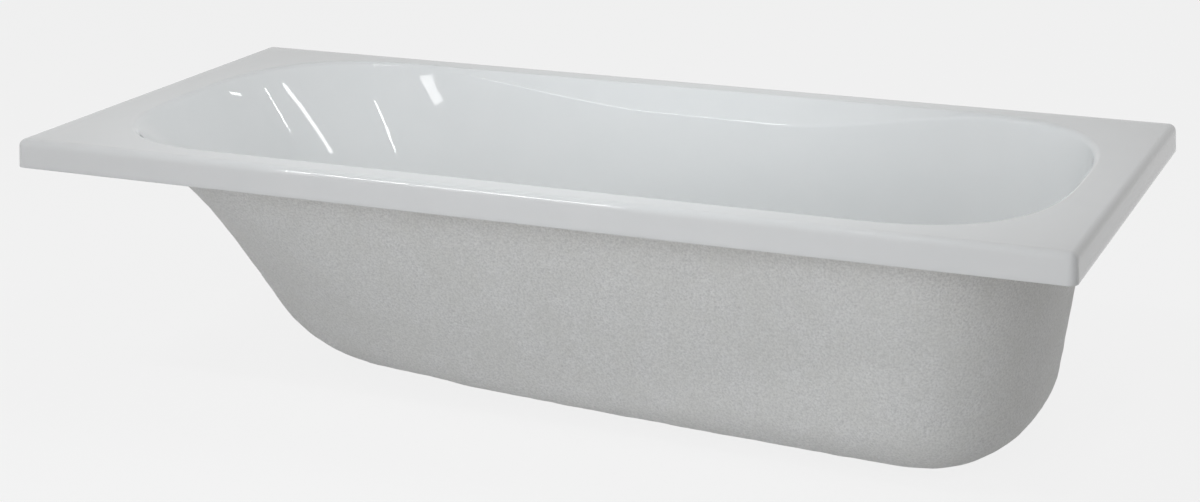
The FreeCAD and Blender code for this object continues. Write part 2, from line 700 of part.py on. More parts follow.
return_spring = new_body("return_spring", "wasteReach", "springFoot + springSeat + springWire")
wire_section = new_sketch(return_spring, "XZ_Plane")
draw_circle(wire_section, "springWire", "springRadius")
coil = return_spring.newObject("PartDesign::AdditiveHelix", "SpringCoil")
coil.Profile = wire_section
coil.ReferenceAxis = (wire_section, ["V_Axis"])
coil.Mode = "height-turns-angle"
bind(coil, "Height", "springLength - 2 * springSeat - 2 * springWire")
bind(coil, "Turns", "springTurns")

index_cam = turned("index_cam", [
    ("pilotRadius + camPlay", "camUnder"), ("camRadius", "camUnder"),
    ("camRadius", "camUnder + camHeight"), ("pilotRadius + camPlay", "camUnder + camHeight")])
notch_sketch = new_sketch(index_cam, "XY_Plane", "camUnder + camHeight")
draw_polygon(notch_sketch, [
    ("camRadius - camNotchDepth", "-(camNotch / 2)"), ("camRadius + overrun", "-(camNotch / 2)"),
    ("camRadius + overrun", "camNotch / 2"), ("camRadius - camNotchDepth", "camNotch / 2")])
notch = pocket(index_cam, notch_sketch, "camNotchDepth")
doc.recompute()
ring_of_notches = index_cam.newObject("PartDesign::PolarPattern", "CamNotches")
ring_of_notches.Originals = [notch]
ring_of_notches.Axis = (notch_sketch, ["N_Axis"])
ring_of_notches.Angle = 360
ring_of_notches.Occurrences = 4
index_cam.Tip = ring_of_notches

plug_stem = turned("plug_stem", [
    ("0", "camUnder - pilotTip"), ("pilotRadius", "camUnder - pilotTip"),
    ("pilotRadius", "collarUnder"), ("camRadius", "collarUnder"), ("camRadius", "collarTop"),
    ("stemRadius", "collarTop"), ("stemRadius", "plugLipUnder + stemGrip"),
    ("0", "plugLipUnder + stemGrip")])
plug_cap = turned("plug_cap", [
    ("0", "plugLipUnder + stemGrip"), ("stemRadius", "plugLipUnder + stemGrip"),
    ("stemRadius", "plugLipUnder"), ("plugLipRadius", "plugLipUnder"),
    ("plugLipRadius", "plugSealUnder"), ("plugHubRadius", "plugSealUnder"),
    ("plugHubRadius", "plugUnder"), ("plugRadius", "plugUnder"),
    ("plugRadius", "plugUnder + plugRim"), ("plugHubRadius", "plugUnder + plugThick"),
    ("0", "plugUnder + plugThick")])
plug_seal = turned("plug_seal", [
    ("plugHubRadius", "plugSealUnder"),
    ("plugSealRadius - plugSealDrop * coneSlope", "plugSealUnder"),
    ("plugSealRadius", "flangeTop"), ("plugSealRadius", "plugUnder"),
    ("plugHubRadius", "plugUnder")])

doc.recompute()

# Check every object, then write each sub-part to its own file

failed = [item.Name for item in doc.Objects
          if any(word in item.State for word in ("Invalid", "Error"))]
if failed:
    raise RuntimeError("objects that failed: " + ", ".join(failed))

subparts = [
    acrylic_shell, fibreglass_backing, front_rim_rail, rear_rim_rail, head_rim_rail,
    foot_rim_rail, base_board, base_bedding, base_laminate, waste_body, waste_top_seal,
    waste_bottom_seal, waste_slip_washer, waste_back_nut, cartridge_barrel, cartridge_end_cap,
    return_spring, index_cam, plug_stem, plug_cap, plug_seal]
for part in subparts:
    if part.Shape.isNull() or not part.Shape.isValid():
        raise RuntimeError("bad shape: " + part.Label)

os.makedirs("parts", exist_ok=True)
for part in subparts:
    part.Shape.exportStep(f"parts/{part.Label}.step")
    box = part.Shape.optimalBoundingBox()
    print(f"{part.Label:20s} solids {len(part.Shape.Solids)}  volume {part.Shape.Volume:12.1f}"
          f"  x {box.XMin:8.2f} {box.XMax:8.2f}  y {box.YMin:8.2f} {box.YMax:8.2f}"
          f"  z {box.ZMin:8.2f} {box.ZMax:8.2f}")
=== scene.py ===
# Built-in bathtub: formed acrylic sheet backed with sprayed glass fibre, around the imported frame
import math

import bmesh
import bpy
import numpy as np
from mathutils import Matrix, Vector


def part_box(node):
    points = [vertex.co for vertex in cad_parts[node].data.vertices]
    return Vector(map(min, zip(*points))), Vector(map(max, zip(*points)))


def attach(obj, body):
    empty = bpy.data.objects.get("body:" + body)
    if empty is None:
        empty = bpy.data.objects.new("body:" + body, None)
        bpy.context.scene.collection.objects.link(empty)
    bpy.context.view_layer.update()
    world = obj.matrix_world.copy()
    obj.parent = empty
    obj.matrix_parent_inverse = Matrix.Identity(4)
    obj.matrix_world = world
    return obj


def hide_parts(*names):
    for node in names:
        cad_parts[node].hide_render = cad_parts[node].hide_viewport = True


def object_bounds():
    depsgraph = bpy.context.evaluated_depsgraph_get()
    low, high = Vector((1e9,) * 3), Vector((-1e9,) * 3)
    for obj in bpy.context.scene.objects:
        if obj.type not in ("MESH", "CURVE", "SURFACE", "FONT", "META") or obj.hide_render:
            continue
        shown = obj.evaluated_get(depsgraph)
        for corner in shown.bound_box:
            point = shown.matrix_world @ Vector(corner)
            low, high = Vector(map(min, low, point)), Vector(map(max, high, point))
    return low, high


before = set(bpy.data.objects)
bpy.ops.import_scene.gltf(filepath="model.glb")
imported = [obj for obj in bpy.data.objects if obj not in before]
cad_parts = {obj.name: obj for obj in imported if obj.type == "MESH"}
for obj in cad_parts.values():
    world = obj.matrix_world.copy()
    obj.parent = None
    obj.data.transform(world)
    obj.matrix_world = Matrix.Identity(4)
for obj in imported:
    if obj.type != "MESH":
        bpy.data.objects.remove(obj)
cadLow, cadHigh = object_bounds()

mm = 0.001
weldGap = 0.00001  # m


# Small tools: colours, nodes, meshes

def linearColour(code):
    # sRGB hex to linear light: a short straight foot, then the 2.4 power
    shares = [int(code[i:i + 2], 16) / 255 for i in (1, 3, 5)]
    return [s / 12.92 if s <= 0.04045 else ((s + 0.055) / 1.055) ** 2.4 for s in shares] + [1]


def addNode(tree, kind, settings=None, inputs=None):
    # one shader node: its settings by name, and its inputs as values or as sockets to link
    node = tree.nodes.new("ShaderNode" + kind)
    for name, setting in (settings or {}).items():
        setattr(node, name, setting)
    for key, given in (inputs or {}).items():
        if isinstance(given, bpy.types.NodeSocket):
            tree.links.new(given, node.inputs[key])
        else:
            node.inputs[key].default_value = given
    return node


def startMaterial(name, values):
    # a material with its surface shader's own sockets set, and the piece's coordinates in metres,
    # so that a pattern of scale 1000 repeats about every millimetre
    material = bpy.data.materials.new(name)
    material.use_nodes = True
    tree = material.node_tree
    shader = tree.nodes["Principled BSDF"]
    for key, value in values.items():
        shader.inputs[key].default_value = value
    place = addNode(tree, "TexCoord").outputs["Object"]
    return material, tree, shader, place


def gridMesh(name, points, closedRows):
    # a skin over a grid of points in mm, rows by stations by 3, closed round the stations and, if
    # asked, round the rows too. Rows that shrink to one point are welded there, and all faces are
    # turned over if the volume, the sum of each face's a . (b x c + c x d), comes out negative
    rows, stations = points.shape[:2]
    here = np.arange(rows * stations).reshape(rows, stations)
    beside = np.roll(here, -1, axis=1)
    faces = np.stack([here, beside, np.roll(beside, -1, axis=0), np.roll(here, -1, axis=0)], -1)
    if not closedRows:
        faces = faces[:-1]
    faces = faces.reshape(-1, 4)
    flat = points.reshape(-1, 3) * mm
    a, b, c, d = (flat[faces[:, i]] for i in range(4))
    volume = np.einsum("ij,ij->i", a, np.cross(b, c) + np.cross(c, d)).sum()
    if volume < 0:
        faces = faces[:, ::-1]
    mesh = bpy.data.meshes.new(name)
    mesh.from_pydata(flat.tolist(), [], faces.tolist())
    welding = bmesh.new()
    welding.from_mesh(mesh)
    bmesh.ops.remove_doubles(welding, verts=welding.verts, dist=weldGap)
    welding.to_mesh(mesh)
    welding.free()
    mesh.shade_smooth()
    return mesh


def addPiece(name, mesh, material, body, replaced):
    # a finished piece at the origin, which rides on its body and stands for the nodes named
    piece = bpy.data.objects.new(name, mesh)
    bpy.context.scene.collection.objects.link(piece)
    mesh.materials.append(material)
    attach(piece, body)
    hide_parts(*replaced)


# The bath's form, mm and degrees, with +X the waste end and -Y the front. Shares and powers are
# plain numbers
bath = {
    "headDeck": 69, "footDeck": 62, "sideDeck": 46,
    "mouthEnd": 250, "mouthPower": 2.8,
    "headRun": 250, "footRun": 48, "sideRun": 124, "taperShare": 0.094,
    "headEnd": 300, "footEnd": 160, "floorHeadPower": 5.7, "floorFootPower": 2.4,
    "deckLip": 14, "roll": 10, "crest": 10,
    "ledge": 7, "armrest": 61, "armrestSlopeShare": 0.6,
    "armrestMiddle": 15, "armrestFlat": 90, "armrestFade": 410,
    "depth": 346, "fallShare": 0.019,
    "headCove": 175, "sideCove": 69, "footCove": 66,
    "rimRound": 11, "skirt": 40, "skirtDraft": 4,
    "wasteFromFoot": 210, "recessDepth": 4, "recessRadius": 40, "recessRound": 3,
    "holeRadius": 26, "holeRound": 1, "edgeRound": 0.9,
}
# Rows of points across each part of the form, from the skirt's edge to the waste hole
rowCounts = {"skirt": 5, "rimRound": 8, "deck": 3, "lip": 1, "roll": 6, "ledge": 2, "crest": 6,
             "cove": 12, "floor": 9, "recessRound": 5, "seat": 2}
halfLength = cadHigh.x / mm
halfWidth = cadHigh.y / mm
rimTop = cadHigh.z / mm
mouthHead = halfLength - bath["headDeck"]
mouthFoot = halfLength - bath["footDeck"]
mouthHalf = halfWidth - bath["sideDeck"]
floorHead = mouthHead - bath["headRun"]
floorFoot = mouthFoot - bath["footRun"]
floorHalf = mouthHalf - bath["sideRun"]
wasteX = floorFoot - bath["wasteFromFoot"]
seatLevel = rimTop - bath["depth"] - bath["fallShare"] * wasteX - bath["recessDepth"]
draft = math.radians(bath["skirtDraft"])
rimInset = bath["rimRound"] * math.tan(math.pi / 4 - draft / 2) + bath["skirt"] * math.tan(draft)


def eased(share):
    # 3 t^2 - 2 t^3 between 0 and 1
    share = np.clip(share, 0, 1)
    return share * share * (3 - 2 * share)


def unit(ways):
    # each vector divided by its length
    return ways / np.linalg.norm(ways, axis=-1, keepdims=True)


def dot(one, other):
    # the sum of the products of the coordinates, kept as a column
    return (one * other).sum(-1, keepdims=True)


def planOutline(s, headReach, footReach, half, taperShare, headEnd, footEnd, powers):
    # a plan for s from 0 to 4: foot end, rear side, head end and front side. An end's radius at
    # an angle is (|cos / reach|^n + |sin / half|^n)^(-1/n), the sides are straight, and every y is
    # scaled by 1 + taper x / half
    part = np.floor(s) % 4
    share = s - np.floor(s)
    angle = (share + np.where(part == 2, 0.5, -0.5)) * math.pi
    along, across = np.cos(angle), np.sin(angle)
    reach = np.where(part == 2, headEnd, footEnd)
    power = np.where(part == 2, powers[0], powers[1])
    radius = (np.abs(along / reach) ** power + np.abs(across / half) ** power) ** (-1 / power)
    footMiddle = footReach - footEnd
    headMiddle = headEnd - headReach
    x = np.select(
        [part == 0, part == 1, part == 2],
        [footMiddle + radius * along, footMiddle + (headMiddle - footMiddle) * share,
         headMiddle + radius * along],
        headMiddle + (footMiddle - headMiddle) * share)
    y = np.select([part == 1, part == 3], [half, -half], radius * across)
    return np.stack([x, y * (1 + taperShare * x / half)], -1)


def mouthOutline(s):
    # the plan of the mouth, with like ends and no taper
    return planOutline(s, mouthHead, mouthFoot, mouthHalf, 0,
                       bath["mouthEnd"], bath["mouthEnd"], (bath["mouthPower"],) * 2)


def rimPlaces(s, turn):
    # where each station meets the rim: the foot of the rim's rounding, along the same bearing
    # from the middle, and the way out from there, which turns by 90 degrees at a corner
    halves = np.array([halfLength - rimInset, halfWidth - rimInset])
    bearing = mouthOutline(s) / halves
    widest = np.abs(bearing).max(-1, keepdims=True)
    foot = bearing / widest
    nearlyOne = 1 - 1e-9
    ways = np.where(np.abs(foot) > nearlyOne, np.sign(foot), 0)
    corner = turn > -1
    cornerAngle = np.arctan2(np.sign(bearing[:, 1]), np.sign(bearing[:, 0]))
    angle = cornerAngle + (turn - 0.5) * math.pi / 2
    turned = np.stack([np.cos(angle), np.sin(angle)], -1)
    foot = np.where(corner[:, None], np.sign(bearing), foot)
    ways = np.where(corner[:, None], turned, ways)
    return foot * halves, ways


def chooseStations(counts, cornerCount, cornerSpan):
    # places round the bath: evenly along each part, and a close bunch for each rim corner, found
    # where the bearing's x and y are equal. turn runs from 0 to 1 through a bunch and is -2
    # elsewhere
    even = np.concatenate([k + np.arange(n) / n for k, n in enumerate(counts)])
    fineCount = 8000
    fine = np.linspace(0, 4, fineCount, endpoint=False)
    halves = np.array([halfLength - rimInset, halfWidth - rimInset])
    bearing = mouthOutline(fine) / halves
    slant = np.abs(bearing[:, 0]) - np.abs(bearing[:, 1])
    crossing = np.where(slant * np.roll(slant, -1) < 0)[0]
    share = slant[crossing] / (slant[crossing] - np.roll(slant, -1)[crossing])
    corners = fine[crossing] + share * (fine[1] - fine[0])
    gaps = (even[:, None] - corners + 2) % 4 - 2
    clearShare = 1.2
    even = even[(np.abs(gaps) > cornerSpan * clearShare).all(1)]
    turn = np.linspace(0, 1, cornerCount)
    bunch = (corners[:, None] + (turn * 2 - 1) * cornerSpan) % 4
    s = np.concatenate([even, bunch.ravel()])
    turns = np.concatenate([np.full(len(even), -2.0), np.tile(turn, len(corners))])
    order = np.argsort(s)
    return s[order], turns[order]


def bend(before, corner, after, radius, steps):
    # the arc that rounds a corner: from its first tangent point, sin of the turn along the way in
    # and 1 - cos of the turn across it
    ahead = unit(corner - before)
    onward = unit(after - corner)
    turn = np.arccos(dot(ahead, onward))
    across = unit(onward - ahead * dot(ahead, onward))
    start = corner - ahead * radius * np.tan(turn / 2)
    angle = np.linspace(0, 1, steps + 1)[:, None, None] * turn
    return start + radius * (np.sin(angle) * ahead + (1 - np.cos(angle)) * across)


def between(first, last, steps):
    # evenly spaced rows between two rows, without the two themselves
    share = (np.arange(steps) + 1)[:, None, None] / (steps + 1)
    return first + (last - first) * share


def sectionRows(s, run, depth, wallRows):
    # one layer's half sections, as distance in from the mouth and height above the deck: the
    # corners of deck, ledge, wall and floor, moved outwards by the depth along their mitres, and
    # then rounded by arcs
    x = mouthOutline(s)[:, 0]
    fade = (np.abs(x - bath["armrestMiddle"]) - bath["armrestFlat"]) / bath["armrestFade"]
    ledge = bath["ledge"] + (bath["armrest"] - bath["ledge"]) * (1 - eased(fade))
    toHead = eased((bath["mouthEnd"] - mouthHead - x) / bath["mouthEnd"])
    toFoot = eased((x + bath["mouthEnd"] - mouthFoot) / bath["mouthEnd"])
    cove = (bath["sideCove"] + (bath["headCove"] - bath["sideCove"]) * toHead
            + (bath["footCove"] - bath["sideCove"]) * toFoot)[:, None]
    zero = np.zeros_like(ledge)
    floor = bath["depth"]
    corners = np.stack([
        np.stack([zero - bath["deckLip"], zero], -1),
        np.stack([zero, zero], -1),
        np.stack([ledge, -bath["armrestSlopeShare"] * ledge], -1),
        np.stack([run, zero - floor], -1),
        np.stack([run + floor, zero - floor], -1)])
    ways = unit(corners[1:] - corners[:-1])
    aside = np.stack([ways[..., 1], -ways[..., 0]], -1)
    mitre = (aside[:-1] + aside[1:]) / (1 + dot(aside[:-1], aside[1:]))
    shifts = np.concatenate([aside[:1], mitre, aside[-1:]])
    lip, mouth, crest, toe, end = corners + depth * shifts
    roll = bend(lip, mouth, crest, bath["roll"] - depth, rowCounts["roll"])
    edge = bend(mouth, crest, toe, bath["crest"] - depth, rowCounts["crest"])
    arc = bend(crest, toe, end, cove + depth, rowCounts["cove"])
    return np.concatenate([
        lip[None], between(lip, roll[0], rowCounts["lip"]), roll,
        between(roll[-1], edge[0], rowCounts["ledge"]), edge,
        between(edge[-1], arc[0], wallRows), arc])


def layerRows(s, turn, depth, lowerEdge, wallRows):
    # one face of the shell, from the skirt's lower edge over the rim and down the basin to the
    # waste hole, at a depth into the shell: rows by stations by 3. The floor and the walls sink
    # with x, by the fall times the share of the depth that they have reached
    mouth = mouthOutline(s)
    floor = planOutline(s, floorHead, floorFoot, floorHalf, bath["taperShare"],
                        bath["headEnd"], bath["footEnd"],
                        (bath["floorHeadPower"], bath["floorFootPower"]))
    run = np.linalg.norm(floor - mouth, axis=-1)
    inward = (floor - mouth) / run[:, None]
    section = sectionRows(s, run, depth, wallRows)
    plan = mouth + inward * section[..., :1]
    sink = bath["fallShare"] / bath["depth"] * plan[..., 0] * (-section[..., 1] - depth)
    basin = np.concatenate([plan, (rimTop + section[..., 1] - sink)[..., None]], -1)

    # rim: the deck out to the rounding, round it, and down the leaning skirt
    rimFoot, outward = rimPlaces(s, turn)
    radius = bath["rimRound"] - depth
    angle = np.linspace(0, math.pi / 2 - draft, rowCounts["rimRound"])[:, None]
    across = radius * np.sin(angle)
    height = rimTop - bath["rimRound"] + radius * np.cos(angle)
    down = np.linspace(0, 1, rowCounts["skirt"] + 1)[1:, None] * (height[-1] - lowerEdge)
    across = np.concatenate([across, across[-1] + down * math.tan(draft)])
    height = np.concatenate([height, height[-1] - down])
    rim = rimFoot + outward * across[..., None]
    height = np.broadcast_to(height[..., None], rim.shape[:2] + (1,))
    rim = np.concatenate([rim, height], -1)[::-1]
    deck = between(rim[-1], basin[0], rowCounts["deck"])

    # floor: in to the sunk seat, rounded over its edge and into its foot, then flat to the hole
    fromWaste = basin[-1][:, :2] - [wasteX, 0]
    bearing = np.unwrap(np.arctan2(fromWaste[:, 1], fromWaste[:, 0]))
    steady = bearing[0] + np.arange(len(s)) / len(s) * 2 * math.pi
    around = (bearing + steady) / 2
    ways = np.stack([np.cos(around), np.sin(around)], -1)
    turned = np.linspace(0, 1, rowCounts["recessRound"])[:, None] * math.pi / 2
    lip = bath["recessRound"]
    over = np.concatenate([lip * (1 - np.sin(turned)), -lip * (1 - np.cos(turned[1:]))])
    drop = np.concatenate([1 - np.cos(turned), 1 + np.sin(turned[1:])]) / 2
    ring = [wasteX, 0] + ways * (bath["recessRadius"] + depth + over)[..., None]
    plane = rimTop - bath["depth"] - depth - bath["fallShare"] * ring[..., 0]
    level = plane + (seatLevel - depth - plane) * drop
    seat = np.concatenate([ring, level[..., None]], -1)
    flat = between(basin[-1], seat[0], rowCounts["floor"])
    flat[..., 2] = rimTop - bath["depth"] - depth - bath["fallShare"] * flat[..., 0]
    hole = seat[-1].copy()
    hole[:, :2] = [wasteX, 0] + ways * (bath["holeRadius"] + bath["holeRound"])
    seatFlat = between(seat[-1], hole, rowCounts["seat"])
    return np.concatenate([rim, deck, basin, flat, seat, seatFlat, hole[None]])


def closedLayer(outer, inner):
    # the two faces of a layer in one loop of rows, with small rounds at the skirt's lower edge
    # and at the waste hole, each of two chords
    down = np.array([0, 0, -1])
    across = unit(inner[0] - outer[0])
    full, near, far = (bath["edgeRound"] * share for share in (1, 1 / 3, 2 / 3))
    edge = [inner[0] - across * near + down * far, inner[0] + (down - across) * full,
            outer[0] + (down + across) * full, outer[0] + across * near + down * far]
    inwards = unit(([wasteX, 0, 0] - outer[-1]) * [1, 1, 0])
    full, near, far = (bath["holeRound"] * share for share in (1, 0.3, 0.7))
    bore = [outer[-1] + inwards * far + down * near, outer[-1] + (inwards + down) * full,
            inner[-1] + (inwards - down) * full, inner[-1] + inwards * far - down * near]
    return np.concatenate([outer, bore, inner[::-1], edge])


def thinned(rows, step):
    # every so many rows, and always the last one
    kept = np.unique(np.append(np.arange(0, len(rows), step), len(rows) - 1))
    return rows[kept]


def lumps(points, wavelength, seed):
    # a smooth random field about 1 high: a sum of sine waves near one length, in random
    # directions, over the root of their number
    draw = np.random.default_rng(seed)
    count = 16
    fewest, most = 0.7, 1.4  # waves to one wavelength
    ways = unit(draw.normal(size=(count, 3))) * draw.uniform(fewest, most, (count, 1))
    phases = draw.uniform(0, 2 * math.pi, count)
    return np.sin(points @ ways.T * (2 * math.pi / wavelength) + phases).sum(-1) / math.sqrt(count)


def gridNormals(points):
    # unit normals of a grid, from the cross product of its two central differences; the trifle
    # keeps one of no length from being divided by nought
    trifle = 1e-12
    downRows = np.gradient(points, axis=0)
    roundRows = np.roll(points, -1, axis=1) - np.roll(points, 1, axis=1)
    return unit(np.cross(downRows, roundRows) + trifle)


# Cast acrylic sheet, vacuum formed: clear gloss on an even white, with the faint long swell that
# a drawn sheet keeps and small differences in its polish
acrylic, tree, shader, place = startMaterial("castAcrylicSheet", {
    "Base Color": linearColour("#E7E8E8"), "Roughness": 0.04, "IOR": 1.49})
swell = addNode(tree, "TexNoise", None, {
    "Vector": place, "Scale": 14, "Detail": 1})  # 70 mm swells
polish = addNode(tree, "TexNoise", None, {
    "Vector": place, "Scale": 60, "Detail": 3})  # 17 mm patches of polish
rub = addNode(tree, "MapRange", None, {
    "Value": polish.outputs["Fac"], "From Min": 0.3, "From Max": 0.7,
    "To Min": 0.015, "To Max": 0.04})
cloud = addNode(tree, "ValToRGB", None, {"Fac": swell.outputs["Fac"]})
cloud.color_ramp.elements[0].color = linearColour("#E5E6E6")
cloud.color_ramp.elements[1].color = linearColour("#E9E9E9")
rise = addNode(tree, "Bump", None, {
    "Height": swell.outputs["Fac"], "Strength": 0.25, "Distance": 0.0004})
tree.links.new(cloud.outputs["Color"], shader.inputs["Base Color"])
tree.links.new(rub.outputs["Result"], shader.inputs["Roughness"])
tree.links.new(rise.outputs["Normal"], shader.inputs["Normal"])

# Polyester resin and chopped glass, sprayed on and rolled: dull grey white, pebbled every 3 mm,
# with strands 40 mm long and 2.5 mm wide just showing, and cloudy where the coat is thin
glassFibre, tree, shader, place = startMaterial("sprayedGlassFibre", {
    "Base Color": linearColour("#E6E6E4"), "Roughness": 0.55, "IOR": 1.53})
pebble = addNode(tree, "TexNoise", None, {
    "Vector": place, "Scale": 330, "Detail": 3, "Roughness": 0.65})  # 3 mm pebbles
coat = addNode(tree, "TexNoise", None, {
    "Vector": place, "Scale": 22, "Detail": 2})  # 45 mm clouds
strands = []
for turned in ((0.3, 0.1, 0.5), (1.4, 0.7, -0.6), (0.5, 2.0, 1.1)):
    laid = addNode(tree, "Mapping", {"vector_type": "TEXTURE"}, {
        "Vector": place, "Rotation": turned,
        "Scale": (40 * mm, 2.5 * mm, 2.5 * mm)})
    strand = addNode(tree, "TexNoise", None, {"Vector": laid.outputs["Vector"], "Scale": 1})
    strands.append(strand.outputs["Fac"])
crossed = addNode(tree, "Math", {"operation": "MAXIMUM"}, {0: strands[0], 1: strands[1]})
crossed = addNode(tree, "Math", {"operation": "MAXIMUM"}, {
    0: crossed.outputs["Value"], 1: strands[2]})
threads = addNode(tree, "MapRange", None, {
    "Value": crossed.outputs["Value"], "From Min": 0.58, "From Max": 0.72, "To Max": 0.5})
grain = addNode(tree, "ValToRGB", None, {"Fac": pebble.outputs["Fac"]})
grain.color_ramp.elements[0].position = 0.3
grain.color_ramp.elements[0].color = linearColour("#D1D1D0")
grain.color_ramp.elements[1].position = 0.7
grain.color_ramp.elements[1].color = linearColour("#F6F6F5")
laidOn = addNode(tree, "Mix", {"data_type": "RGBA"}, {
    0: threads.outputs["Result"], 6: grain.outputs["Color"], 7: linearColour("#F1F1EE")})
thin = addNode(tree, "MapRange", None, {
    "Value": coat.outputs["Fac"], "From Min": 0.35, "From Max": 0.65,
    "To Min": 0, "To Max": 0.25})
clouded = addNode(tree, "Mix", {"data_type": "RGBA"}, {
    0: thin.outputs["Result"], 6: laidOn.outputs[2], 7: linearColour("#DCDCD7")})
relief = addNode(tree, "Math", {"operation": "MULTIPLY_ADD"}, {
    0: threads.outputs["Result"], 1: 0.3, 2: pebble.outputs["Fac"]})
rise = addNode(tree, "Bump", None, {
    "Height": relief.outputs["Value"], "Strength": 0.62, "Distance": 0.0012})
tree.links.new(clouded.outputs[2], shader.inputs["Base Color"])
tree.links.new(rise.outputs["Normal"], shader.inputs["Normal"])

# Sawn softwood: pale, with darker grain lines 9 mm apart and 330 mm long, and a rough face
timbers = {}
for name, stretch in (("sawnPineAlong", (3, 110, 110)), ("sawnPineAcross", (110, 3, 110))):
    timber, tree, shader, place = startMaterial(name, {
        "Base Color": linearColour("#C8A878"), "Roughness": 0.78, "IOR": 1.5})
    laid = addNode(tree, "Mapping", None, {"Vector": place, "Scale": stretch})
    rings = addNode(tree, "TexNoise", None, {
        "Vector": laid.outputs["Vector"], "Scale": 1, "Detail": 4, "Distortion": 0.4})
    shade = addNode(tree, "ValToRGB", None, {"Fac": rings.outputs["Fac"]})
    shade.color_ramp.elements[0].position = 0.35
    shade.color_ramp.elements[0].color = linearColour("#A67F4E")
    shade.color_ramp.elements[1].position = 0.6
    shade.color_ramp.elements[1].color = linearColour("#CFB184")
    rise = addNode(tree, "Bump", None, {
        "Height": rings.outputs["Fac"], "Strength": 0.4, "Distance": 0.0006})
    tree.links.new(shade.outputs["Color"], shader.inputs["Base Color"])
    tree.links.new(rise.outputs["Normal"], shader.inputs["Normal"])
    timbers[name] = timber

# Chipboard: pressed chips 4 mm across in several browns
chipboard, tree, shader, place = startMaterial("pressedChipboard", {
    "Base Color": linearColour("#B39A70"), "Roughness": 0.85, "IOR": 1.5})
chips = addNode(tree, "TexVoronoi", None, {"Vector": place, "Scale": 250})  # 4 mm chips
shade = addNode(tree, "ValToRGB", None, {"Fac": chips.outputs["Color"]})
shade.color_ramp.elements[0].color = linearColour("#9A7F55")
shade.color_ramp.elements[1].color = linearColour("#C9B187")
tree.links.new(shade.outputs["Color"], shader.inputs["Base Color"])

# Filled polyester paste: straw grey, cloudy every 17 mm
paste, tree, shader, place = startMaterial("filledResinPaste", {
    "Base Color": linearColour("#B5AF9C"), "Roughness": 0.6, "IOR": 1.54})
blotch = addNode(tree, "TexNoise", None, {"Vector": place, "Scale": 60, "Detail": 3})
shade = addNode(tree, "ValToRGB", None, {"Fac": blotch.outputs["Fac"]})
shade.color_ramp.elements[0].color = linearColour("#A59F8B")
shade.color_ramp.elements[1].color = linearColour("#C4BEAD")
tree.links.new(shade.outputs["Color"], shader.inputs["Base Color"])

# Polished chromium on brass: a bright mirror with a faint haze left by wiping
chrome, tree, shader, place = startMaterial("polishedChromium", {
    "Base Color": linearColour("#D6D8DA"), "Metallic": 1, "Roughness": 0.08})
haze = addNode(tree, "TexNoise", None, {
    "Vector": place, "Scale": 140, "Detail": 4})  # 7 mm smears
rub = addNode(tree, "MapRange", None, {
    "Value": haze.outputs["Fac"], "From Min": 0.35, "From Max": 0.7,
    "To Min": 0.05, "To Max": 0.14})
tree.links.new(rub.outputs["Result"], shader.inputs["Roughness"])

# Turned brass: yellow metal with the fine rings that the tool leaves, 0.8 mm apart
turnedBrass, tree, shader, place = startMaterial("turnedBrass", {
    "Base Color": linearColour("#C9A45A"), "Metallic": 1, "Roughness": 0.26})
toolMarks = addNode(tree, "TexWave", {"bands_direction": "Z"}, {
    "Vector": place, "Scale": 400, "Distortion": 0.2})
rise = addNode(tree, "Bump", None, {
    "Height": toolMarks.outputs["Fac"], "Strength": 0.2, "Distance": 0.00005})
dull = addNode(tree, "TexNoise", None, {
    "Vector": place, "Scale": 90, "Detail": 3})  # 11 mm dull patches
rub = addNode(tree, "MapRange", None, {
    "Value": dull.outputs["Fac"], "From Min": 0.3, "From Max": 0.7,
    "To Min": 0.2, "To Max": 0.36})
tree.links.new(rise.outputs["Normal"], shader.inputs["Normal"])
tree.links.new(rub.outputs["Result"], shader.inputs["Roughness"])

# Moulded black rubber: near black, dull, with a fine dusty bloom
rubber, tree, shader, place = startMaterial("mouldedRubber", {
    "Base Color": linearColour("#1E1E1F"), "Roughness": 0.62, "IOR": 1.52})
bloom = addNode(tree, "TexNoise", None, {
    "Vector": place, "Scale": 220, "Detail": 3})  # 4.5 mm specks
shade = addNode(tree, "ValToRGB", None, {"Fac": bloom.outputs["Fac"]})
shade.color_ramp.elements[0].color = linearColour("#19191A")
shade.color_ramp.elements[1].color = linearColour("#2C2C2E")
tree.links.new(shade.outputs["Color"], shader.inputs["Base Color"])

# Moulded acetal: milky and waxy, with a soft sheen
acetal, tree, shader, place = startMaterial("mouldedAcetal", {
    "Base Color": linearColour("#E4E3DC"), "Roughness": 0.34, "IOR": 1.48})
waxy = addNode(tree, "TexNoise", None, {
    "Vector": place, "Scale": 180, "Detail": 2})  # 5.5 mm patches
rub = addNode(tree, "MapRange", None, {
    "Value": waxy.outputs["Fac"], "From Min": 0.3, "From Max": 0.7,
    "To Min": 0.28, "To Max": 0.42})
tree.links.new(rub.outputs["Result"], shader.inputs["Roughness"])

# Drawn stainless spring wire: grey metal with the fine marks that the die leaves
springWire, tree, shader, place = startMaterial("drawnSpringWire", {
    "Base Color": linearColour("#ADAEB0"), "Metallic": 1, "Roughness": 0.3})
dieLines = addNode(tree, "TexNoise", None, {
    "Vector": place, "Scale": 900, "Detail": 2})  # 1.1 mm marks
rub = addNode(tree, "MapRange", None, {
    "Value": dieLines.outputs["Fac"], "From Min": 0.3, "From Max": 0.7,
    "To Min": 0.22, "To Max": 0.4})
tree.links.new(rub.outputs["Result"], shader.inputs["Roughness"])
print("materials made")


